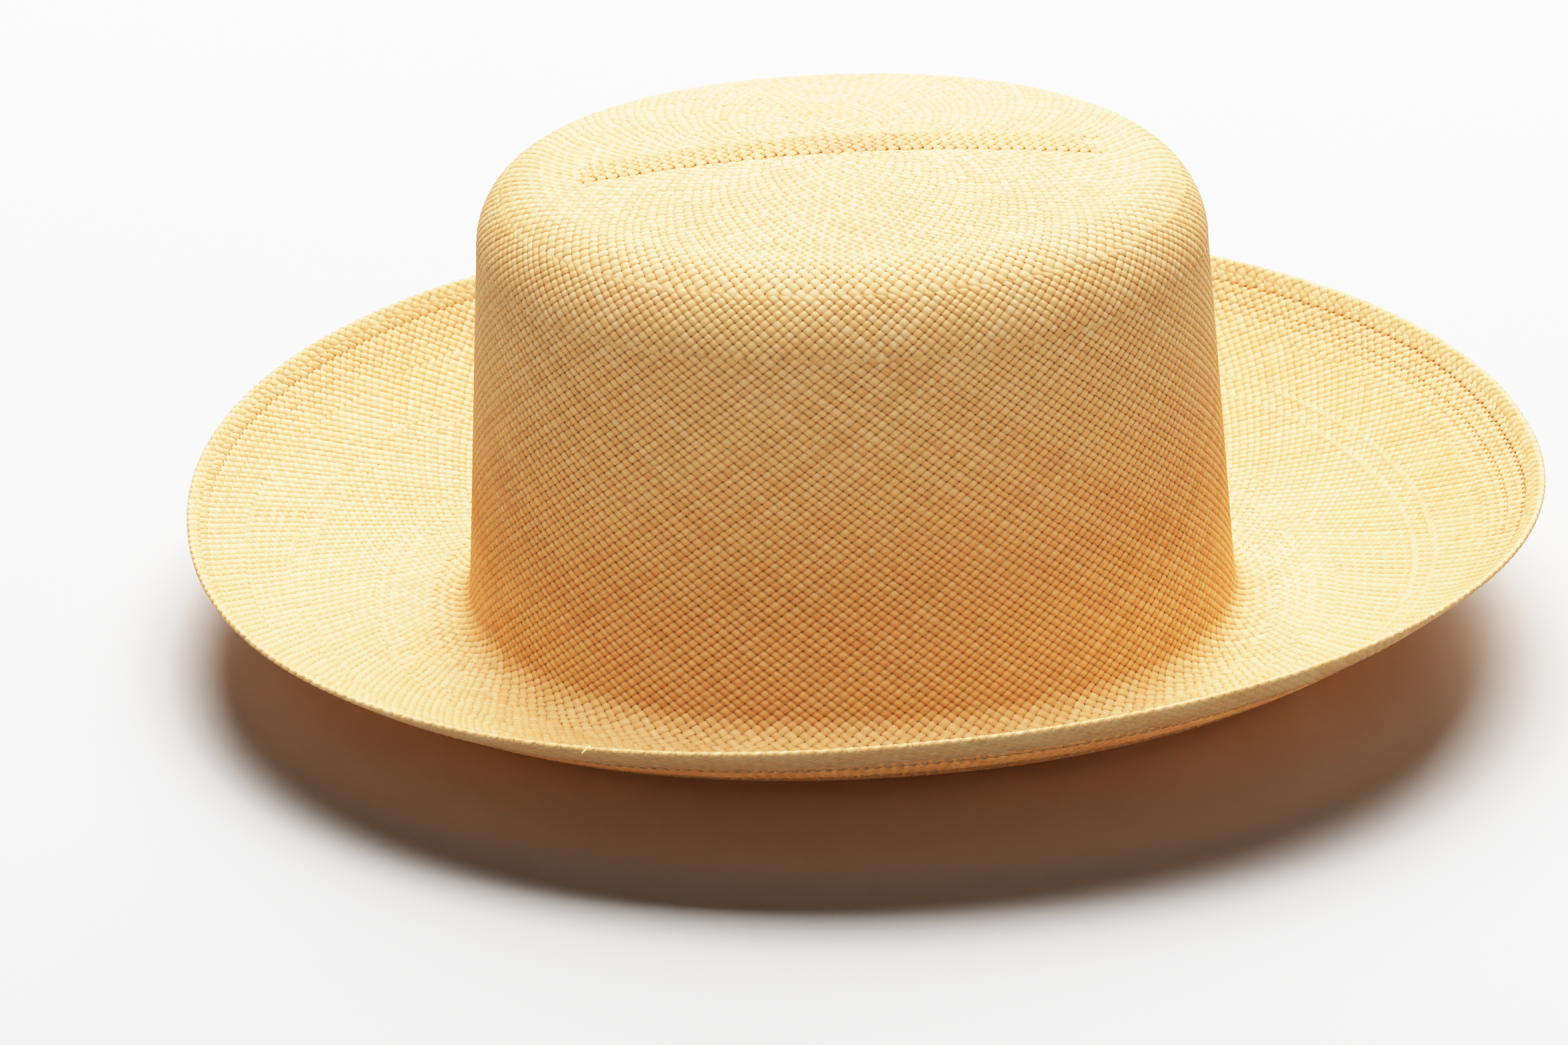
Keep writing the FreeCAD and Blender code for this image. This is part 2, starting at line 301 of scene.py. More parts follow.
# a straw's (place, height, width) in a crossing where it is on top, and where it is underneath
OVER = ((-0.31, 0.80, 0.96), (0.0, 1.0, 1.03), (0.31, 0.80, 0.96))
UNDER = ((-0.44, -0.85, 0.89), (0.0, -1.0, 0.95), (0.44, -0.85, 0.89))
GROOVE_DROP = 0.6  # how much lower an upper straw lies at a full groove, as a share of the wave
GROOVE_PINCH = 0.2  # and how much narrower it is there
RISE_BETWEEN = -0.3  # depth of the lines between two grooves, as a share of the groove's
UNEVEN_WAVE = (0.88, 1.12)
# where a straw's end is tucked under, in straw pitches past its last crossing, and its width there
END_TUCK = (0.7, 0.8)
FLOAT_TUCK = (1.15, 0.7)
# a float lies over the zone before: pitches before its first crossing, height, width
FLOAT = ((0.85, 0.5, 0.95), (0.45, 1.0, 1.0))
# where it comes down: pitches before its first crossing, height, how much it follows that crossing
FLOAT_LANDING = (0.12, 0.45, 0.6)
# how far each straw of a family strays, and all of them in slow waves, in straw pitches
STRAY = 0.12
SLOW_STRAY = 0.05
SLOW_WAVES = range(2, 12)
WIDTHS = (0.92, 1.02)  # a straw's width as a share of the room that it has
LAYOUT_ROWS = 256  # most rows of straws in a piece's UV layout
LAYOUT_HALF = 0.42  # half of a straw's width there, as a share of a row
GRAIN_SHIFT = 40  # sets the straws' streaks apart


class Straws:
    """Gathers ribbons for one mesh."""

    def __init__(self):
        self.points, self.tones = [], []

    def add(self, points, tones):
        """points is (straws, samples, section, 3) in millimetres and tones is (straws, 3)."""
        self.points.append(points)
        self.tones.append(tones)

    def make(self, name, material):
        total = sum(len(p) for p in self.points)
        per_row = -(-total // LAYOUT_ROWS)
        rows = -(-total // per_row)
        verts, quads, caps, uv, tone, fibre = [], [], [], [], [], []
        base, first = 0, 0
        ring = len(SECTION_X)
        for points, tones in zip(self.points, self.tones):
            count, samples = points.shape[:2]
            verts.append(points.reshape(-1, 3))
            index = base + np.arange(count * samples * ring).reshape(count, samples, ring)
            after = np.roll(index, -1, axis=2)
            sides = np.stack([index[:, :-1], index[:, 1:], after[:, 1:], after[:, :-1]], -1)
            quads.append(sides.reshape(-1, 4))
            caps.append(index[:, 0, :].reshape(-1, ring))
            caps.append(index[:, -1, ::-1].reshape(-1, ring))
            order = (first + np.arange(count))[:, None, None]
            ahead = np.linspace(0.01, 0.99, samples)[None, :, None]
            pair = np.empty(index.shape + (2,))
            pair[..., 0] = (order % per_row + ahead) / per_row
            pair[..., 1] = (order // per_row + 0.5 + LAYOUT_HALF * SECTION_X) / rows
            uv.append(pair.reshape(-1, 2))
            steps = np.linalg.norm(np.diff(points[:, :, 1], axis=1), axis=2)
            run = np.concatenate([np.zeros((count, 1)), np.cumsum(steps, 1)], 1)
            grain = np.empty(index.shape + (3,))
            grain[..., 0] = run[..., None]
            grain[..., 1] = SECTION_X
            grain[..., 2] = GRAIN_SHIFT * tones[:, 2, None, None]
            fibre.append(grain.reshape(-1, 3))
            tone.append(np.repeat(tones, samples * ring, axis=0))
            base += count * samples * ring
            first += count
        parts = (np.concatenate(part) for part in (verts, quads, caps, uv, tone, fibre))
        return make_mesh(name, material, *parts)


def make_mesh(name, material, verts, quads, caps, uv, tone, fibre):
    """One mesh object from quads and end caps, smooth but for the straws' long edges."""
    mesh = bpy.data.meshes.new(name)
    mesh.vertices.add(len(verts))
    mesh.vertices.foreach_set("co", (verts * MM).astype(np.float32).ravel())
    corners = np.concatenate([quads.ravel(), caps.ravel()]).astype(np.int32)
    mesh.loops.add(len(corners))
    mesh.loops.foreach_set("vertex_index", corners)
    sizes = np.concatenate([np.full(len(quads), 4), np.full(len(caps), caps.shape[1])])
    starts = np.concatenate([[0], np.cumsum(sizes)[:-1]]).astype(np.int32)
    mesh.polygons.add(len(sizes))
    mesh.polygons.foreach_set("loop_start", starts)
    mesh.update(calc_edges=True)
    mesh.shade_smooth()
    ends = np.empty(2 * len(mesh.edges), np.int32)
    mesh.edges.foreach_get("vertices", ends)
    ends = ends.reshape(-1, 2) % len(SECTION_X)
    crease = (ends[:, 0] == ends[:, 1]) & (np.abs(SECTION_X)[ends[:, 0]] == 1)
    mesh.attributes.new("sharp_edge", "BOOLEAN", "EDGE").data.foreach_set("value", crease)
    layer = mesh.uv_layers.new(name="OFBake")
    layer.uv.foreach_set("vector", uv[corners].astype(np.float32).ravel())
    colour = mesh.color_attributes.new("straw", "FLOAT_COLOR", "POINT")
    rgba = np.ones((len(verts), 4), np.float32)
    rgba[:, :3] = tone
    colour.data.foreach_set("color", rgba.ravel())
    grain = mesh.attributes.new("fibre", "FLOAT_VECTOR", "POINT")
    grain.data.foreach_set("vector", fibre.astype(np.float32).ravel())
    mesh.materials.append(material)
    return add_object(name, mesh)


def ribbons(centre, t, lift, width, mirrored, place, wave):
    """Straws with their middles at u - v = centre and u + v = t.

    place turns u and v into points and normals. lift is in waves."""
    x = width[..., None] / 2 * SECTION_X
    u = (centre[:, None, None] + t[..., None] + x) / 2
    v = (t[..., None] - centre[:, None, None] - x) / 2
    point, normal = place(-u if mirrored else u, v)
    curl = STRAW_CURL * wave * np.clip(lift, 0, 1)[..., None] * SECTION_EDGE
    above = wave * lift[..., None] + STRAW_THICKNESS / 2 * SECTION_TOP - curl
    points = point + normal * above[..., None]
    return points[:, :, [3, 2, 1, 0, 4]] if mirrored else points


class Family:
    """Places and widths of one family of straws, uneven as hand work is."""

    def __init__(self, count, rng, stray=STRAY):
        self.count = count
        turn = TURN * np.arange(count) / count
        slow = sum(rng.uniform(-SLOW_STRAY, SLOW_STRAY) * np.sin(n * turn + rng.uniform(0, TURN))
                   for n in SLOW_WAVES)
        self.shift = rng.uniform(-stray, stray, count) + slow
        self.tones = rng.random((count, 3))
        self.gap = rng.uniform(*WIDTHS, count)

    def place(self, index, mirrored):
        """Centre and width of the straws with these whole numbers, in straw pitches."""
        if mirrored:
            centre, width = self.place(-index, False)
            return -centre, width
        low = index - 0.5 + self.shift[index % self.count]
        high = index + 0.5 + self.shift[(index + 1) % self.count]
        return (low + high) / 2, high - low


def weave(families, start, rows, place, rng, wave=STRAW_WAVE, floats=False, groove=0.0, holes=None,
          full=1.0):
    """Plain weave of two families, rows crossings deep from v = start. Returns two (points, tones).

    groove lowers and narrows the upper straws at every second line between rows, which draws the weave
    together in rings two rows wide. holes gives chosen lines, counted from the end, a depth of their own.
    With floats, the first family starts on top of the zone before. full scales the straws' widths."""
    lines = [groove if (rows - 1 - line) % 2 == 0 else RISE_BETWEEN * groove for line in range(-1, rows)]
    for line, depth in (holes or {}).items():
        lines[rows - line] = depth
    results = []
    for which in (0, 1):
        own, cross = families[which], families[1 - which]
        mirrored = which == 1
        k = np.arange(own.count) * (1 - 2 * which)
        centre, width = own.place(k, mirrored)
        cell = k[:, None] + np.arange(rows)[None, :]
        cross_centre, cross_width = cross.place(cell, mirrored)
        side = np.where((k[:, None] + cell) % 2 == 0, 1.0, -1.0) * (1 - 2 * which)
        uneven = rng.uniform(*UNEVEN_WAVE, side.shape)
        first = cross_centre[:, :1] - 0.5 * cross_width[:, :1]
        last = cross_centre[:, -1:] + 0.5 * cross_width[:, -1:]
        same = np.ones_like(first)
        hidden = same * TUCK / wave
        if floats and not mirrored:
            samples = [(first - FLOAT_TUCK[0], hidden, same * FLOAT_TUCK[1])]
            samples += [(first - back, same * lift, same * size) for back, lift, size in FLOAT]
            back, lift, follow = FLOAT_LANDING
            samples.append((first - back, lift + follow * side[:, :1], same))
        else:
            samples = [(first - END_TUCK[0], hidden, same * END_TUCK[1])]
        for column in range(rows):
            on_top = side[:, column:column + 1] > 0
            for over, under, depth in zip(OVER, UNDER, (lines[column], 0.0, lines[column + 1])):
                f, lift, size = (np.where(on_top, a, b) for a, b in zip(over, under))
                lift = lift * uneven[:, column:column + 1] - GROOVE_DROP * depth * on_top
                where = cross_centre[:, column:column + 1] + f * cross_width[:, column:column + 1]
                samples.append((where, lift, size * (1 - GROOVE_PINCH * depth)))
        samples.append((last + END_TUCK[0], hidden, same * END_TUCK[1]))
        t, lift, size = (np.concatenate(part, 1) for part in zip(*samples))
        size = size * (width * own.gap)[:, None] * full
        # the first row of crossings lies a quarter in, so that the cells fill the zone from start
        shift = start + 0.25
        results.append((ribbons(centre - shift, t + shift, lift, size, mirrored, place, wave), own.tones))
    return results


def weave_zone(surface, start, end, count, rng, stretch=1.0, **options):
    """Plain weave all round between two distances from the tip's middle."""
    reach = np.linspace(start, end, ZONE_STEPS)
    rate = count / np.interp(reach, surface.reach, surface.girth) / stretch
    depth = np.concatenate([[0], np.cumsum((rate[1:] + rate[:-1]) / 2 * np.diff(reach))])
    rows = max(2, round(2 * depth[-1]))
    depth *= rows / 2 / depth[-1]
    slope_in = (reach[1] - reach[0]) / (depth[1] - depth[0])
    slope_out = (reach[-1] - reach[-2]) / (depth[-1] - depth[-2])

    def place(u, v):
        distance = np.interp(v, depth, reach)
        distance = np.where(v < 0, start + v * slope_in, distance)
        distance = np.where(v > depth[-1], end + (v - depth[-1]) * slope_out, distance)
        return surface(u / count, np.clip(distance, TIP_MIDDLE, surface.reach[-1]))

    families = (Family(count, rng), Family(count, rng))
    return weave(families, 0.0, rows, place, rng, **options)


# ======== the hat's pieces of straw
# the tip's zones: straws per family, and the girth at which they are reached
TIP_COUNTS = ((6, 0), (10, 25), (14, 36), (20, 51), (28, 71), (38, 97), (52, 133), (70, 178), (92, 235),
              (120, 306), (152, 388))
TIP_START = 1.2  # the first zone starts this far from the tip's middle
TIP_MIDDLE = 0.3  # and no straw goes nearer to the middle than this
CROWN_COUNT = 176  # straws per family on the shoulder and the wall
# the brim's zones: how far inside the rim each ends, straws per family, options of weave_zone
BRIM_ZONES = (
    (66.0, 232, {"groove": 0.5}),
    (60.0, 262, {"groove": 0.5}),
    (38.5, 288, {"groove": 0.5}),
    (33.0, 300, {"groove": 0.5, "floats": True}),
    (18.9, 322, {"groove": 0.7, "floats": True}),
)
RIM_WIDTH = 3.3
RIM_COUNT = 340  # straws per family in the border and the rim
TIP_WEAVE = {"wave": 0.19}
SHOULDER_WEAVE = {"wave": 0.26, "stretch": 0.86}
WALL_WEAVE = {"stretch": 0.81}
BRIM_WEAVE = {"wave": 0.17, "full": 1.05, "stretch": 0.95}
BORDER_WEAVE = {"wave": 0.18, "full": 1.04, "stretch": 0.93, "groove": 0.8,
                "holes": {0: 1.2, 2: 2.6, 6: 1.6}}
RIM_WEAVE = {"wave": 0.13, "full": 1.04}


def plan(surface):
    """Zones of the weave: part, start, end, straws per family, options."""
    rim = surface.at("rim")
    middle_of_shoulder = (surface.at("shoulder") + surface.at("wall")) / 2
    zones = []
    starts = [max(TIP_START, surface.reach_of_girth(girth)) for _, girth in TIP_COUNTS]
    for (count, _), start, end in zip(TIP_COUNTS, starts, starts[1:] + [middle_of_shoulder]):
        zones.append(("tip", start, end, count, TIP_WEAVE))
    zones.append(("shoulder", middle_of_shoulder, surface.at("wall"), CROWN_COUNT, SHOULDER_WEAVE))
    zones.append(("wall", surface.at("wall"), surface.at("brim"), CROWN_COUNT, WALL_WEAVE))
    start = surface.at("brim")
    for inside, count, options in BRIM_ZONES:
        zones.append(("brim", start, rim - inside, count, {**BRIM_WEAVE, **options}))
        start = rim - inside
    zones.append(("border", start, rim - RIM_WIDTH, RIM_COUNT, BORDER_WEAVE))
    zones.append(("rim", rim - RIM_WIDTH, surface.reach[-1], RIM_COUNT, RIM_WEAVE))
    return zones


FAMILIES = ("left", "right")
PARTS = {  # part: (CAD node it stands for, slot, pieces that each family is shared between)
    "tip": ("crown_tip", "straw_crown", 1),
    "shoulder": ("crown_tip", "straw_crown", 1),
    "wall": ("crown_wall", "straw_crown", 3),
    "brim": ("brim", "straw_brim", 2),
    "border": ("brim_border", "straw_brim", 1),
    "rim": ("rim_braid", "straw_rim", 1),
}


def plait(surface, material):
    """Every straw of the body, as one piece per family and part."""
    rng = np.random.default_rng(20)
    gathered = {}
    for part, start, end, count, options in plan(surface):
        shares = PARTS[part][2]
        woven = weave_zone(surface, start, end, count, rng, **options)
        for family, (points, tones) in zip(FAMILIES, woven):
            for share in range(shares):
                cut = slice(share * len(points) // shares, (share + 1) * len(points) // shares)
                name = f"{part}_straws_{family}" + (f"_{share + 1}" if shares > 1 else "")
                gathered.setdefault((name, part), Straws()).add(points[cut], tones[cut])
    for (name, part), straws in gathered.items():
        node, slot, _ = PARTS[part]
        belongs(straws.make(name, material), slot, node)


STRIP_PITCH = 2.9
STRIP_ROWS = 8
STRIP_WAVE = 0.36
STRIP_STRAY = 0.16
STRIP_FILL = 0.95  # width of the weave, as a share of the strip's
STRIP_SPARE = 0.09  # how much narrower its straws are, as a share of their room
STRIP_TONES_AND_SHADE = (0.7, -0.12)  # share of the usual range of tones, and how much darker, as painted shade
STRIP_PAINTED_SHADE = (0.5, 0.28)  # painted shade, darker in the middle: how much, and its reach in half strips
STRIP_LIFT = 0.42  # height of its middle line above the tip
STRIP_EDGE_DROP = 0.40
STRIP_END = (1.8, 0.6)  # where its ends start to sink at the front edge, and how much sooner per v
STRIP_END_DROP = 0.45  # how much they sink per straw pitch
STRIP_END_REACH = 4


def tip_height(x, y):
    centre = crown_centre(SHOULDER_FOOT)
    half = crown_half(SHOULDER_FOOT) - SHOULDER_RADIUS
    share = (np.abs((x - centre[0]) / half[0]) ** OVAL_POWER
             + np.abs((y - centre[1]) / half[1]) ** OVAL_POWER)
    return SHOULDER_TOP + TIP_RISE * (1 - share ** (2 / OVAL_POWER)) - MIDDLE


def plait_strip(material):
    """The straight strip along the top that the plaiting starts from, in coarser straw."""
    rng = np.random.default_rng(31)
    centre = crown_centre(SHOULDER_FOOT)
    count = int(2 * STRIP_HALF[0] / STRIP_PITCH)
    families = (Family(count, rng, STRIP_STRAY), Family(count, rng, STRIP_STRAY))
    from_middle = np.abs(np.arange(count) / count - 0.5) * 2
    # painted shade: the straws near the strip's middle are made darker
    painted_shade = STRIP_PAINTED_SHADE[0] * np.exp(-(from_middle / STRIP_PAINTED_SHADE[1]) ** 2)
    for family in families:
        family.tones[:, 0] = STRIP_TONES_AND_SHADE[0] * family.tones[:, 0] + STRIP_TONES_AND_SHADE[1] - painted_shade
        family.gap -= STRIP_SPARE

    def place(u, v):
        x = centre[0] + (u - count / 2) * STRIP_PITCH
        y = centre[1] + v * STRIP_HALF[1] / (STRIP_ROWS / 4) * STRIP_FILL
        # towards the strip's back corners only one family is left, so its straws sink sooner there
        end = STRIP_END[0] + STRIP_END[1] * (v + STRIP_ROWS / 4)
        past_end = np.clip(end - u, 0, STRIP_END_REACH) + np.clip(u - count + end, 0, STRIP_END_REACH)
        edge = np.abs((y - centre[1]) / STRIP_HALF[1]) ** 4
        top = STRIP_LIFT - STRIP_EDGE_DROP * edge - STRIP_END_DROP * past_end
        normal = np.zeros(x.shape + (3,))
        normal[..., 2] = 1.0
        return np.stack([x, y, tip_height(x, y) + top], -1), normal

    woven = weave(families, -STRIP_ROWS / 4, STRIP_ROWS, place, rng, wave=STRIP_WAVE)
    for family, (points, tones) in zip(FAMILIES, woven):
        straws = Straws()
        straws.add(points, tones)
        belongs(straws.make(f"ridge_straws_{family}", material), "straw_crown", "crown_ridge")


# share of a turn, distance inside the rim, length and width of the clipped ends that show there
RIM_TUFTS = (
    (0.6205, 0.0, 1.5, 0.6), (0.6432, 0.0, 1.8, 0.7), (0.6488, 0.0, 1.2, 0.5), (0.654, 0.0, 1.4, 0.6),
    (0.667, 0.0, 2.1, 0.8), (0.6605, 0.0, 0.9, 0.45), (0.3533, 0.2, 4.2, 0.16), (0.3545, 0.2, 2.6, 0.14))
RIM_TUFT_LIFT = (-1.1, -0.3)  # how far an end leans up from the surface, as a share of its length
# fine fibres at the crown's edge: ranges for share of a turn, distance past the shoulder's start, length
CROWN_FIBRES = 7
FIBRE_RANGES = ((0.92, 1.0), (2, 12), (0.8, 1.6))
FIBRE_WIDTH = 0.12
FIBRE_LIFT = (0.2, 0.8)


def clipped_ends(surface, material):
    """Cut ends of straw that stand out from the rim, and fine fibres at the crown's edge."""
    rng = np.random.default_rng(47)
    rim, shoulder = surface.at("rim"), surface.at("shoulder")
    crown = []
    for _ in range(CROWN_FIBRES):
        share, depth, length = (rng.uniform(*limits) for limits in FIBRE_RANGES)
        crown.append((share, rim - shoulder - depth, length, FIBRE_WIDTH))
    for name, ends, slot, node, lift in (
            ("rim_clipped_ends", RIM_TUFTS, "straw_rim", "rim_braid", RIM_TUFT_LIFT),
            ("crown_fibres", crown, "straw_crown", "crown_tip", FIBRE_LIFT)):
        straws = Straws()
        for share, inside, length, width in ends:
            point, normal = surface(np.array([share]), np.array([rim - inside]))
            inner, _ = surface(np.array([share]), np.array([rim - inside - 1.0]))
            out = unit((point - inner)[0])
            along = np.cross(normal[0], out)
            lean = out + along * rng.uniform(-0.5, 0.5) + normal[0] * rng.uniform(*lift)
            side = unit(np.cross(lean, normal[0]))
            step = np.linspace(-0.3, 1.0, 7)[:, None]
            path = point[0] + length * (lean * step + along * rng.uniform(-0.25, 0.25) * step ** 2)
            taper = width / 2 * np.sqrt(np.clip(1.05 - step, 0.05, 1))
            ribbon = (path[:, None] + side * (taper * SECTION_X)[..., None]
                      + normal[0] * (0.4 * width * SECTION_TOP)[None, :, None])
            straws.add(ribbon[None], rng.random((1, 3)))
        belongs(straws.make(name, material), slot, node)


# ======== sweatband and trims
def grid_piece(name, grid, material, node, slot, closed=(True, True), rows=1):
    """A smooth mesh over a grid of points (along, around, 3), folded into rows of its own UV layout."""
    count, ring = grid.shape[:2]
    spans = count if closed[0] else count - 1
    around = ring if closed[1] else ring - 1
    i, j = np.meshgrid(np.arange(spans), np.arange(around), indexing="ij")
    corner_i = np.stack([i, i + 1, i + 1, i], -1)
    corner_j = np.stack([j, j, j + 1, j + 1], -1)
    quads = (corner_i % count) * ring + corner_j % ring
    per_row = -(-spans // rows)
    row = (i // per_row)[..., None]
    uv = np.stack([(corner_i - row * per_row) / per_row,
                   (row + 0.04 + 0.92 * corner_j / around) / rows], -1)
    faces = [tuple(quad) for quad in quads.reshape(-1, 4).tolist()]
    pairs = uv.reshape(-1, 2).tolist()
    if not closed[0]:
        for end in (range(ring)[::-1], range((count - 1) * ring, count * ring)):
            faces.append(tuple(end))
            pairs.extend([[0.5 + 0.002 * math.cos(k), 0.5 + 0.002 * math.sin(k)] for k in range(ring)])
    mesh = bpy.data.meshes.new(name)
    mesh.from_pydata((grid.reshape(-1, 3) * MM).tolist(), [], faces)
    mesh.update(calc_edges=True)
    mesh.shade_smooth()
    layer = mesh.uv_layers.new(name="OFBake")
    layer.uv.foreach_set("vector", np.array(pairs, np.float32).ravel())
    run = np.zeros(grid.shape)
    run[..., 0] = run_along(grid[:, 0])[:, None]
    run[..., 1] = run_along(grid[0])[None, :]
    measure = mesh.attributes.new("run", "FLOAT_VECTOR", "POINT")
    measure.data.foreach_set("vector", run.astype(np.float32).ravel())
    mesh.materials.append(material)
    belongs(add_object(name, mesh), slot, node)


def inside_oval(share, height, inset):
    """Points inside the crown at shares of a turn from the back, and the way outwards there."""
    centre = crown_centre(height)
    half = crown_half(height) - inset
    angle = TURN * share + math.pi
    x = half[0] * signed_power(np.cos(angle), 2 / OVAL_POWER)
    y = half[1] * signed_power(np.sin(angle), 2 / OVAL_POWER)
    out = np.stack([signed_power(x / half[0], OVAL_POWER - 1) / half[0],
                    signed_power(y / half[1], OVAL_POWER - 1) / half[1], 0 * x], -1)
    return np.stack([x + centre[0], y + centre[1], height + 0 * x], -1), unit(out)


def even_shares(start, end, count, closed=False):
    """Shares of a turn whose points lie evenly along the oval."""
    fine = np.linspace(start, end, 4000)
    run = run_along(inside_oval(fine, BAND_BOTTOM, LEATHER_FACE)[0])
    return np.interp(np.linspace(0, run[-1], count, endpoint=not closed), run, fine)


def flat_section(width, thickness, across=12, edge=5):
    """Round-edged outline of a strip: pairs of (up, out) with its middle at (0, 0)."""
    radius = thickness / 2
    rise = np.linspace(-width / 2 + radius, width / 2 - radius, across)
    turn = np.linspace(0, math.pi, edge + 2)[1:-1]
    face = [(z, -radius) for z in rise]
    top = [(width / 2 - radius + radius * math.sin(a), -radius * math.cos(a)) for a in turn]
    back = [(z, radius) for z in rise[::-1]]
    bottom = [(-width / 2 + radius - radius * math.sin(a), radius * math.cos(a)) for a in turn]
    return np.array(face + top + back + bottom)


def swept_strip(shares, bottom, top, inset, thickness, across=12, ripple=0.0):
    """A strip that stands against the inside of the crown, its back at inset from the crown's outside.

    ripple is how far its upper edge waves away from the crown."""
    section = flat_section(top - bottom, thickness, across)
    grid = np.empty((len(shares), len(section), 3))
    for k, (up, out) in enumerate(section):
        height = (bottom + top) / 2 + up
        points, away = inside_oval(shares, height, inset + thickness / 2)
        lean = ripple * (up / (top - bottom) + 0.5) ** 2 * (
            np.sin(TURN * 5 * shares + 1.0) + 0.6 * np.sin(TURN * 11 * shares)) - ripple
        grid[:, k] = points + away * (out + np.minimum(lean, 0))[:, None]
    return grid


def tube(path, radius, ring=8, closed=True):
    """Round cord along a path of points."""
    along = np.roll(path, -1, 0) - np.roll(path, 1, 0) if closed else np.gradient(path, axis=0)
    along = unit(along)
    side = np.cross(along, (0.0, 0.0, 1.0)) + 1e-9
    upright = np.linalg.norm(side, axis=1, keepdims=True) < 0.2
    side = unit(np.where(upright, np.cross(along, (1.0, 0.0, 0.0)), side))
    up = np.cross(side, along)
    angle = TURN * np.arange(ring) / ring
    return (path[:, None] + radius * (side[:, None] * np.cos(angle)[None, :, None]
                                      + up[:, None] * np.sin(angle)[None, :, None]))


LEATHER_RIPPLE = 0.35
STITCH_PULL = (0.12, 0.7)  # how far the stitches draw the leather in, and how wide the dip is


def leather_band(material):
    girth_end = BACK_JOINT_GAP / 2 / BAND_GIRTH
    shares = even_shares(girth_end, 1 - girth_end, BAND_STEPS)
    grid = swept_strip(shares, BAND_BOTTOM, BAND_BOTTOM + BAND_WIDTH, LEATHER_BACK,
                       LEATHER_FACE - LEATHER_BACK, across=30, ripple=LEATHER_RIPPLE)
    near = np.exp(-((grid[..., 2] - BAND_BOTTOM - STITCH_LINE) / STITCH_PULL[1]) ** 2)
    _, away = inside_oval(shares, BAND_BOTTOM, LEATHER_FACE)
    grid += away[:, None] * (STITCH_PULL[0] * near)[..., None]
    grid_piece("sweatband_leather", grid, material, "sweatband", "band_leather", (False, True), rows=10)


def reed(material):
    path, _ = inside_oval(even_shares(0, 1, TAPE_STEPS, True), BAND_BOTTOM - REED_DIAMETER / 2,
                          (LEATHER_BACK + LEATHER_FACE) / 2)
    grid = tube(path, REED_DIAMETER / 2, 16)
    grid_piece("reed_cord", grid, material, "sweatband_reed", "reed_cord", rows=12)


def tapes(material):
    shares = even_shares(0, 1, TAPE_STEPS, True)
    grid = swept_strip(shares, BAND_BOTTOM, BAND_BOTTOM + REED_TAPE_WIDTH, BODY_THICKNESS + FIT_GAP,
                       TAPE_THICKNESS)
    grid_piece("reed_tape_cloth", grid, material, "reed_tape", "cotton_tape", rows=12)
    half = JOINT_TAPE_WIDTH / 2 / BAND_GIRTH
    grid = swept_strip(np.linspace(-half, half, 30), BAND_BOTTOM, BAND_BOTTOM + BAND_WIDTH,
                       LEATHER_BACK - FIT_GAP - TAPE_THICKNESS, TAPE_THICKNESS, across=40)
    grid_piece("joint_tape_cloth", grid, material, "joint_tape", "cotton_tape", (False, True))


STITCH_STEPS = 12  # points along one stitch
STITCH_FLAT = 0.36  # the part of a stitch, to each side of its middle, that lies on the face
STITCH_DIVE = 0.75


def stitches(material):
    """Running stitch: each stitch lies on the leather's face and dives into it at both ends."""
    shares = even_shares(0, 1, STITCHES * STITCH_STEPS, True)
    phase = (np.arange(len(shares)) % STITCH_STEPS) / STITCH_STEPS
    dive = np.clip((np.abs(phase - 0.5) - STITCH_FLAT) / (0.5 - STITCH_FLAT), 0, 1)
    path, away = inside_oval(shares, BAND_BOTTOM + STITCH_LINE, LEATHER_FACE + FIT_GAP + THREAD_RADIUS)
    grid = tube(path + away * (STITCH_DIVE * ease(dive))[:, None], THREAD_RADIUS)
    grid_piece("stitching_thread", grid, material, "sweatband_stitching", "cotton_thread", rows=16)


def zigzag(material):
    """Thread that crosses the joint to and fro, diving into the leather at every turn."""
    dive_depth = 0.6
    bottom = BAND_BOTTOM + BOW_HEIGHT + BOW_LOOP_HEIGHT / 2 + 2 * THREAD_RADIUS
    top = BAND_BOTTOM + BAND_WIDTH - 4 * THREAD_RADIUS
    legs = 2 * ZIGZAG_TURNS - 1
    t = np.linspace(0, legs, legs * 10 + 1)
    swing = 1 - 2 * np.abs((t + 1) % 2 - 1)
    height = bottom + (top - bottom) * t / legs
    dive = np.clip((np.abs(swing) - 0.8) / 0.2, 0, 1)
    path = []
    for across, rise, deep in zip(-swing * ZIGZAG_WIDTH / 2, height, dive):
        inset = LEATHER_FACE + FIT_GAP + THREAD_RADIUS - dive_depth * deep
        centre, half = crown_centre(rise), crown_half(rise) - inset
        share = (1 - abs(across / half[1]) ** OVAL_POWER) ** (1 / OVAL_POWER)
        path.append((centre[0] - half[0] * share, centre[1] + across, rise))
    grid = tube(np.array(path), THREAD_RADIUS, closed=False)
    grid_piece("zigzag_thread", grid, material, "joint_zigzag", "cotton_thread", (False, True))


BOW_STEPS = 72
KNOT_THICKNESS = 0.45
KNOT_INSET = 0.23  # from the knot's outline to the middle of its ribbon


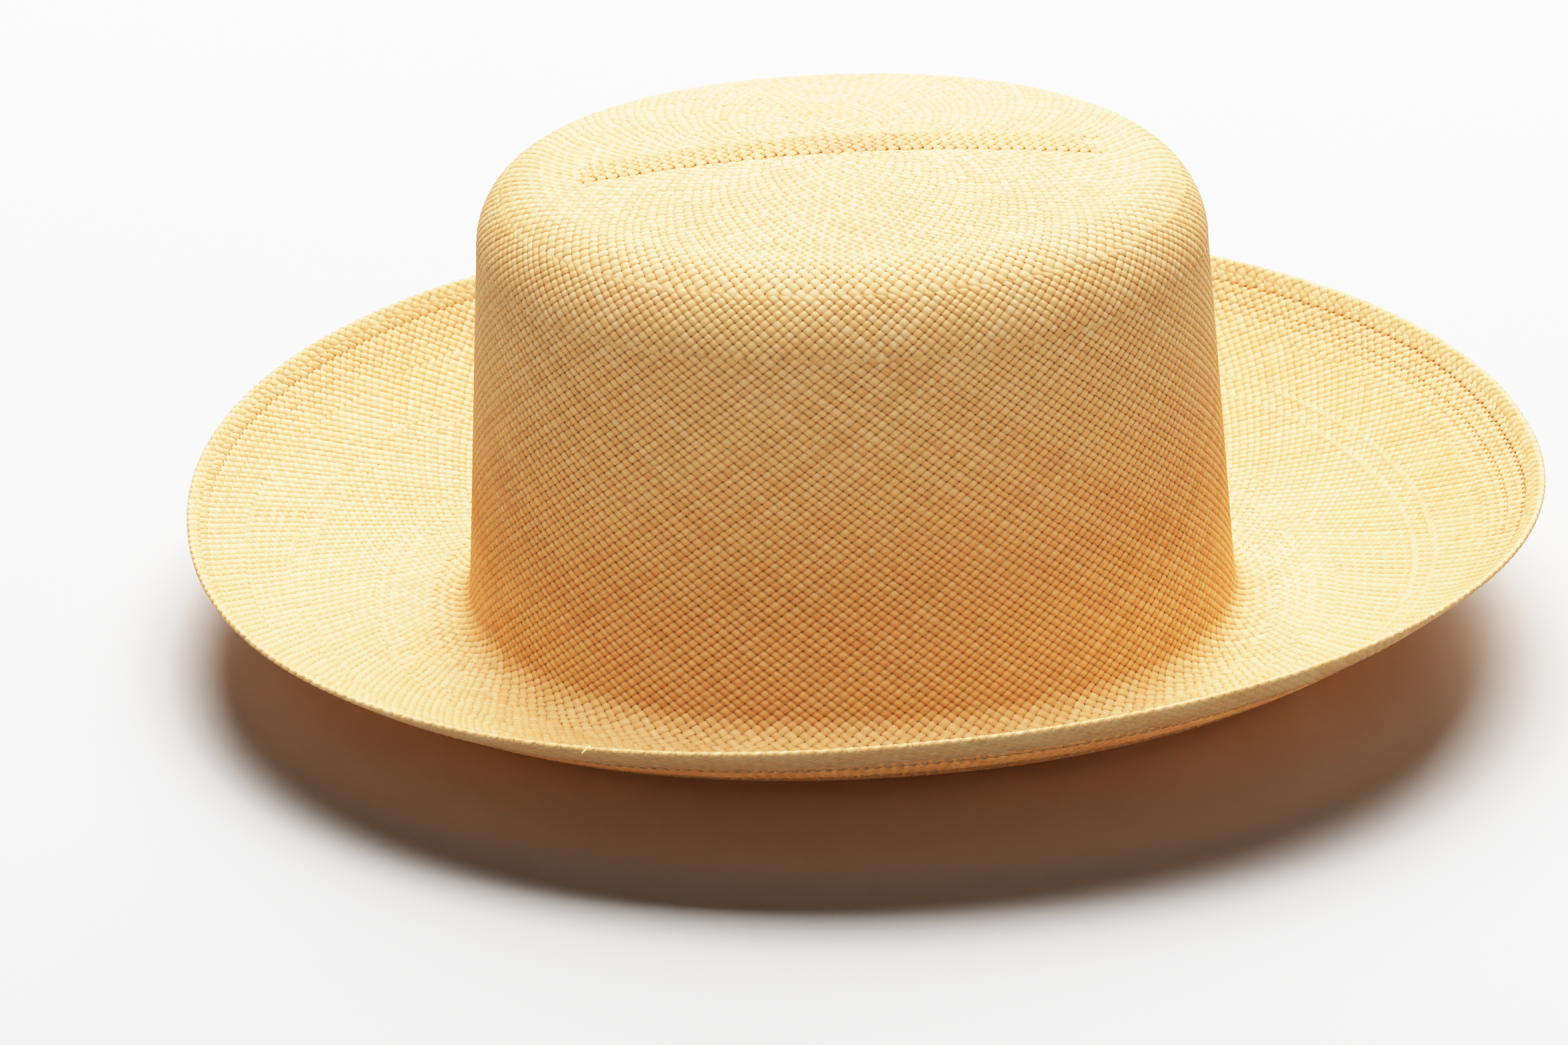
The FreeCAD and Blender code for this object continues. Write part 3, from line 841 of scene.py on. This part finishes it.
def bow(material):
    """Ribbon bow: two flattened loops and the knot round their middle."""
    middle = BAND_BOTTOM + BOW_HEIGHT
    y = CROWN_OFFSET[1]
    half = crown_half(middle) - LEATHER_FACE - FIT_GAP
    centre = crown_centre(middle)

    def leather_x(across):
        return centre[0] - half[0] * (1 - np.abs(across / half[1]) ** OVAL_POWER) ** (1 / OVAL_POWER)

    back = leather_x(BOW_SPAN / 2)
    angle = TURN * np.arange(BOW_STEPS) / BOW_STEPS
    for side, name in ((-1, "bow_loop_left"), (1, "bow_loop_right")):
        out = (1 - np.cos(angle)) / 2
        reach = 0.6 + (BOW_SPAN / 2 - 0.9) * out
        depth = (BOW_THICKNESS - RIBBON_THICKNESS) / 2 * signed_power(np.sin(angle), 0.7)
        depth *= 0.35 + 0.65 * out
        width = 2 * BOW_KNOT / 3 + (BOW_LOOP_HEIGHT - 2 * BOW_KNOT / 3) * out ** 0.8
        path = np.stack([back + BOW_THICKNESS / 2 + depth, y + side * reach, middle + 0 * reach], -1)
        along = unit(np.roll(path, -1, 0) - np.roll(path, 1, 0))
        normal = np.cross(along, (0.0, 0.0, 1.0))
        section = flat_section(1.0, RIBBON_THICKNESS, across=14, edge=3)
        grid = np.empty((len(path), len(section), 3))
        for k, (up, offset) in enumerate(section):
            crease = 0.16 * np.cos(TURN * 2.5 * up) * (1 - out)
            grid[:, k] = path + normal * (offset + crease)[:, None]
            grid[:, k, 2] += width * up * 0.97
        grid_piece(name, grid, material, "sweatband_bow", "bow_ribbon", rows=2)
    knot_back = leather_x(0.0) + 0.15
    deep = back - knot_back + BOW_THICKNESS + 0.3
    section = flat_section(BOW_KNOT * 0.96, KNOT_THICKNESS, across=16, edge=3)
    round_x, round_z = signed_power(np.cos(angle), 0.6), signed_power(np.sin(angle), 0.6)
    grid = np.empty((BOW_STEPS, len(section), 3))
    for k, (along, offset) in enumerate(section):
        fold = TURN * along / BOW_KNOT
        pinch = 1 - 0.10 * math.cos(fold / 2) - 0.05 * math.cos(3 * fold)
        grid[:, k, 0] = knot_back + deep / 2 + (deep / 2 - KNOT_INSET) * pinch * round_x - offset * round_x
        grid[:, k, 1] = y + along
        grid[:, k, 2] = middle + (BOW_KNOT / 2 - KNOT_INSET) * pinch * round_z - offset * round_z
    grid_piece("bow_knot", grid, material, "sweatband_bow", "bow_ribbon", rows=2)


def trims():
    leather_band(leather_material())
    reed(reed_material())
    tapes(cloth_material("cotton_tape_weave", (0.80, 0.74, 0.62), 0.55, 0.55))
    thread = cloth_material("cotton_thread_twist", (0.83, 0.77, 0.64), 0.8, 1.9)
    stitches(thread)
    zigzag(thread)
    bow(cloth_material("ribbon_ribs", (0.36, 0.20, 0.10), 0.5, 40.0))


# ======== materials
class Nodes:
    """A material's node tree, filled by short calls."""

    def __init__(self, name):
        self.material = bpy.data.materials.new(name)
        self.material.use_nodes = True
        self.tree = self.material.node_tree
        self.tree.nodes.clear()

    def add(self, kind, inputs=None, **settings):
        node = self.tree.nodes.new("ShaderNode" + kind)
        for key, value in settings.items():
            setattr(node, key, value)
        for key, value in (inputs or {}).items():
            if isinstance(value, bpy.types.NodeSocket):
                self.tree.links.new(value, node.inputs[key])
            else:
                node.inputs[key].default_value = value
        return node

    def math(self, operation, a, b=0.0):
        return self.add("Math", {0: a, 1: b}, operation=operation).outputs[0]

    def ramp(self, factor, *stops):
        node = self.add("ValToRGB", {"Fac": factor})
        elements = node.color_ramp.elements
        while len(elements) < len(stops):
            elements.new(0.5)
        for element, (place, colour) in zip(elements, stops):
            element.position = place
            element.color = (*colour, 1)
        return node.outputs[0]

    def blend(self, factor, a, b, mode="MIX"):
        inputs = {"Factor": factor, 6: a, 7: b}
        return self.add("Mix", inputs, data_type="RGBA", blend_type=mode).outputs[2]

    def attribute(self, name, output="Vector"):
        return self.add("Attribute", attribute_name=name).outputs[output]

    def place(self):
        return self.add("TexCoord").outputs["Object"]

    def noise(self, where, scale, detail):
        """Noise with one scale, or with one for each axis."""
        if isinstance(scale, tuple):
            where = self.add("VectorMath", {0: where, 1: scale}, operation="MULTIPLY").outputs[0]
            scale = 1.0
        return self.add("TexNoise", {"Vector": where, "Scale": scale, "Detail": detail}).outputs["Fac"]

    def between(self, factor, low, high):
        return self.add("MapRange", {"Value": factor, "To Min": low, "To Max": high}).outputs[0]

    def body(self, base, roughness, height=None, strength=0.0, depth=0.0, specular=0.5):
        """A plain surface. Its bumps are depth metres deep."""
        inputs = {"Base Color": base, "Roughness": roughness, "Specular IOR Level": specular}
        if height is not None:
            bump = {"Height": height, "Strength": strength, "Distance": depth}
            inputs["Normal"] = self.add("Bump", bump).outputs[0]
        return self.add("BsdfPrincipled", inputs).outputs[0]

    def finish(self, shader):
        self.add("OutputMaterial", {"Surface": shader})
        return self.material


STRAW_TONES = ((0.02, (0.87, 0.575, 0.35)), (0.14, (0.91, 0.665, 0.36)), (0.32, (0.96, 0.745, 0.43)),
               (0.5, (0.975, 0.785, 0.47)), (0.68, (0.98, 0.815, 0.52)), (0.88, (0.99, 0.86, 0.61)))
STRAW_STREAKS = ((0.34, (0.90, 0.83, 0.74)), (0.5, (0.985, 0.97, 0.95)), (0.66, (1.0, 1.0, 1.0)))
# colour of the straws' edges: partly their own browner edge, partly painted shade in the gaps between
# straws
STRAW_EDGE_AND_SHADE = (0.55, 0.33, 0.14, 1)
STRAW_GLOW = (0.96, 0.97, 0.62, 1)


def straw_material():
    """A tone of its own for each straw, fine lines along it, edges darkened partly for the straw's own
    browner edge and partly as painted shade in the gaps between straws, and light shining through.
    """
    m = Nodes("toquilla_straw")
    tone = m.add("SeparateColor", {"Color": m.attribute("straw", "Color")}).outputs
    fibre = m.attribute("fibre")
    across = m.add("SeparateXYZ", {"Vector": fibre}).outputs["Y"]
    lines = m.noise(fibre, (0.10, 5.0, 1.0), 3.0)
    patch = m.noise(fibre, (0.12, 0.25, 1.7), 2.0)
    pick = m.math("ADD", m.math("MULTIPLY", tone["Red"], 0.55), m.math("MULTIPLY", patch, 0.45))
    base = m.ramp(pick, *STRAW_TONES)
    base = m.blend(0.6, base, m.ramp(lines, *STRAW_STREAKS), "MULTIPLY")
    # painted shade, with the straw's own browner edge: darker towards each straw's long edges
    edge = m.math("POWER", m.math("ABSOLUTE", across), 3.0)
    base = m.blend(m.math("MULTIPLY", edge, 0.35), base, STRAW_EDGE_AND_SHADE)
    body = m.body(base, m.between(lines, 0.42, 0.62), lines, 0.35, 0.00006, specular=0.45)
    glow = m.add("BsdfTranslucent", {"Color": m.blend(0.6, base, STRAW_GLOW, "MULTIPLY")})
    return m.finish(m.add("MixShader", {"Fac": 0.45, 1: body, 2: glow.outputs[0]}).outputs[0])


def leather_material():
    m = Nodes("band_leather")
    where = m.place()
    grain = m.add("TexVoronoi", {"Vector": where, "Scale": 1100.0}).outputs["Distance"]
    pores = m.noise(where, 2600.0, 2.0)
    cloud = m.noise(where, 24.0, 4.0)
    base = m.ramp(cloud, (0.3, (0.62, 0.39, 0.21)), (0.7, (0.76, 0.52, 0.30)))
    base = m.blend(0.5, base, m.ramp(grain, (0.0, (0.82, 0.78, 0.72)), (0.5, (1.0, 1.0, 1.0))), "MULTIPLY")
    height = m.math("ADD", grain, m.math("MULTIPLY", pores, 0.5))
    return m.finish(m.body(base, m.between(cloud, 0.42, 0.58), height, 0.35, 0.0002))


def reed_material():
    m = Nodes("reed_cord")
    lines = m.noise(m.attribute("run"), (0.3, 6.0, 1.0), 3.0)
    base = m.ramp(lines, (0.3, (0.70, 0.58, 0.38)), (0.7, (0.84, 0.75, 0.56)))
    return m.finish(m.body(base, 0.4, lines, 0.4, 0.0001))


def cloth_material(name, colour, along_pitch, across_pitch):
    """Ribbed or woven cloth: threads at these pitches, in millimetres, over a gently uneven colour."""
    m = Nodes(name)
    run = m.add("SeparateXYZ", {"Vector": m.attribute("run")}).outputs
    along = m.math("SINE", m.math("MULTIPLY", run["X"], TURN / along_pitch))
    across = m.math("COSINE", m.math("MULTIPLY", run["Y"], TURN / across_pitch))
    threads = m.math("ADD", m.math("MULTIPLY", m.math("MULTIPLY", along, across), 0.5), 0.5)
    dark = tuple(0.78 * value for value in colour)
    base = m.ramp(m.noise(m.place(), 300.0, 3.0), (0.3, dark), (0.65, colour))
    base = m.blend(0.6, base, m.ramp(threads, (0.0, (0.7, 0.7, 0.7)), (0.8, (1.0, 1.0, 1.0))), "MULTIPLY")
    return m.finish(m.body(base, 0.85, threads, 0.5, 0.00012))


def floor_material():
    m = Nodes("pale_floor")
    base = m.ramp(m.noise(m.place(), 1.4, 2.0), (0.3, (0.62, 0.612, 0.61)), (0.7, (0.635, 0.627, 0.625)))
    return m.finish(m.body(base, 0.75, specular=0.2))


# ======== stage
CAMERA_PLACE = (-0.18518, -1.37619, 0.67149)  # metres, here and in the rest of this section
CAMERA_TURN = math.radians(-6.79)
CAMERA_DROP = math.radians(25.12)
CAMERA_ROLL = math.radians(-0.79)
CAMERA_LENS = 133.5  # millimetres, like the sensor
SENSOR_WIDTH = 36
FAR_CLIP = 100
FLOOR_HALF = 12
KEY = {"direction": (0.22, 0.85, 1.0), "distance": 3.0, "size": 2.6}
WORLD_COLOUR = (1.0, 0.985, 0.975, 1)
WORLD_STRENGTH = 0.06
BOUNCES = 8  # light passes through layers of straw


def add_camera():
    data = bpy.data.cameras.new("camera")
    data.sensor_width = SENSOR_WIDTH
    data.lens = CAMERA_LENS
    data.clip_end = FAR_CLIP
    camera = add_object("camera", data)
    back = Vector((math.sin(CAMERA_TURN) * math.cos(CAMERA_DROP),
                   -math.cos(CAMERA_TURN) * math.cos(CAMERA_DROP), math.sin(CAMERA_DROP)))
    level = Vector((math.cos(CAMERA_TURN), math.sin(CAMERA_TURN), 0))
    up = back.cross(level)
    right = level * math.cos(CAMERA_ROLL) + up * math.sin(CAMERA_ROLL)
    up = up * math.cos(CAMERA_ROLL) - level * math.sin(CAMERA_ROLL)
    turn = Matrix((right, up, back)).transposed().to_4x4()
    camera.matrix_world = Matrix.Translation(CAMERA_PLACE) @ turn
    bpy.context.scene.camera = camera


def add_light(name, direction, distance, size, watts, colour=(1, 1, 1), only=None):
    """A square lamp that looks at the hat. It lights everything, or only one collection."""
    data = bpy.data.lights.new(name, "AREA")
    data.shape = "SQUARE"
    data.size = size
    data.energy = watts
    data.color = colour
    light = add_object(name, data)
    away = Vector(direction).normalized()
    light.location = away * distance
    light.rotation_euler = away.to_track_quat("Z", "Y").to_euler()
    light.light_linking.receiver_collection = only


def add_floor():
    mesh = bpy.data.meshes.new("floor")
    square = ((-1, -1), (1, -1), (1, 1), (-1, 1))
    mesh.from_pydata([(FLOOR_HALF * x, FLOOR_HALF * y, 0) for x, y in square], [], [(0, 1, 2, 3)])
    mesh.materials.append(floor_material())
    add_object("floor", mesh)


def add_world():
    world = bpy.data.worlds.new("studio")
    world.use_nodes = True
    background = world.node_tree.nodes["Background"]
    background.inputs["Color"].default_value = WORLD_COLOUR
    background.inputs["Strength"].default_value = WORLD_STRENGTH
    bpy.context.scene.world = world


TONE_WHITE = 2.2  # the curve's right end, in scene brightness
TONES = ((0.02, 0.011), (0.06, 0.046), (0.12, 0.118), (0.25, 0.32), (0.45, 0.60), (0.7, 0.82),
         (1.0, 0.92), (1.4, 0.97))


def add_tone_curve():
    """A gentle shoulder, so that the sunny side of the straw keeps its colour, and deeper shadows."""
    view = bpy.context.scene.view_settings
    view.view_transform = "Standard"
    view.use_curve_mapping = True
    mapping = view.curve_mapping
    mapping.white_level = (TONE_WHITE,) * 3
    points = mapping.curves[3].points  # the curve for all three colours
    for place, value in TONES:
        points.new(place / TONE_WHITE, value)
    mapping.update()


def main():
    add_camera()
    add_floor()
    add_world()
    add_light("fill", (-0.2, -1.0, 0.3), distance=2.0, size=1.5, watts=3, colour=(1.0, 0.90, 0.70))
    add_tone_curve()
    bpy.context.scene.cycles.diffuse_bounces = BOUNCES
    surface = Surface()
    straw = straw_material()
    plait(surface, straw)
    plait_strip(straw)
    clipped_ends(surface, straw)
    trims()
    hat, ground = (bpy.data.collections.new(name) for name in ("hat", "ground"))
    for piece in bpy.context.scene.objects:
        if piece.type == "MESH":
            (ground if piece.name == "floor" else hat).objects.link(piece)
    # two lamps at one place: one can't match both the photo's floor and its hat
    add_light("key_on_floor", **KEY, watts=235, only=ground)
    add_light("key_on_hat", **KEY, watts=165, colour=(1.0, 0.87, 0.82), only=hat)
    add_light("overhead", (0.0, -0.12, 1.0), distance=2.0, size=1.2, watts=40, colour=(1.0, 0.89, 0.81),
              only=hat)


main()


def corners(box):
    return [[float(value) for value in corner] for corner in box]
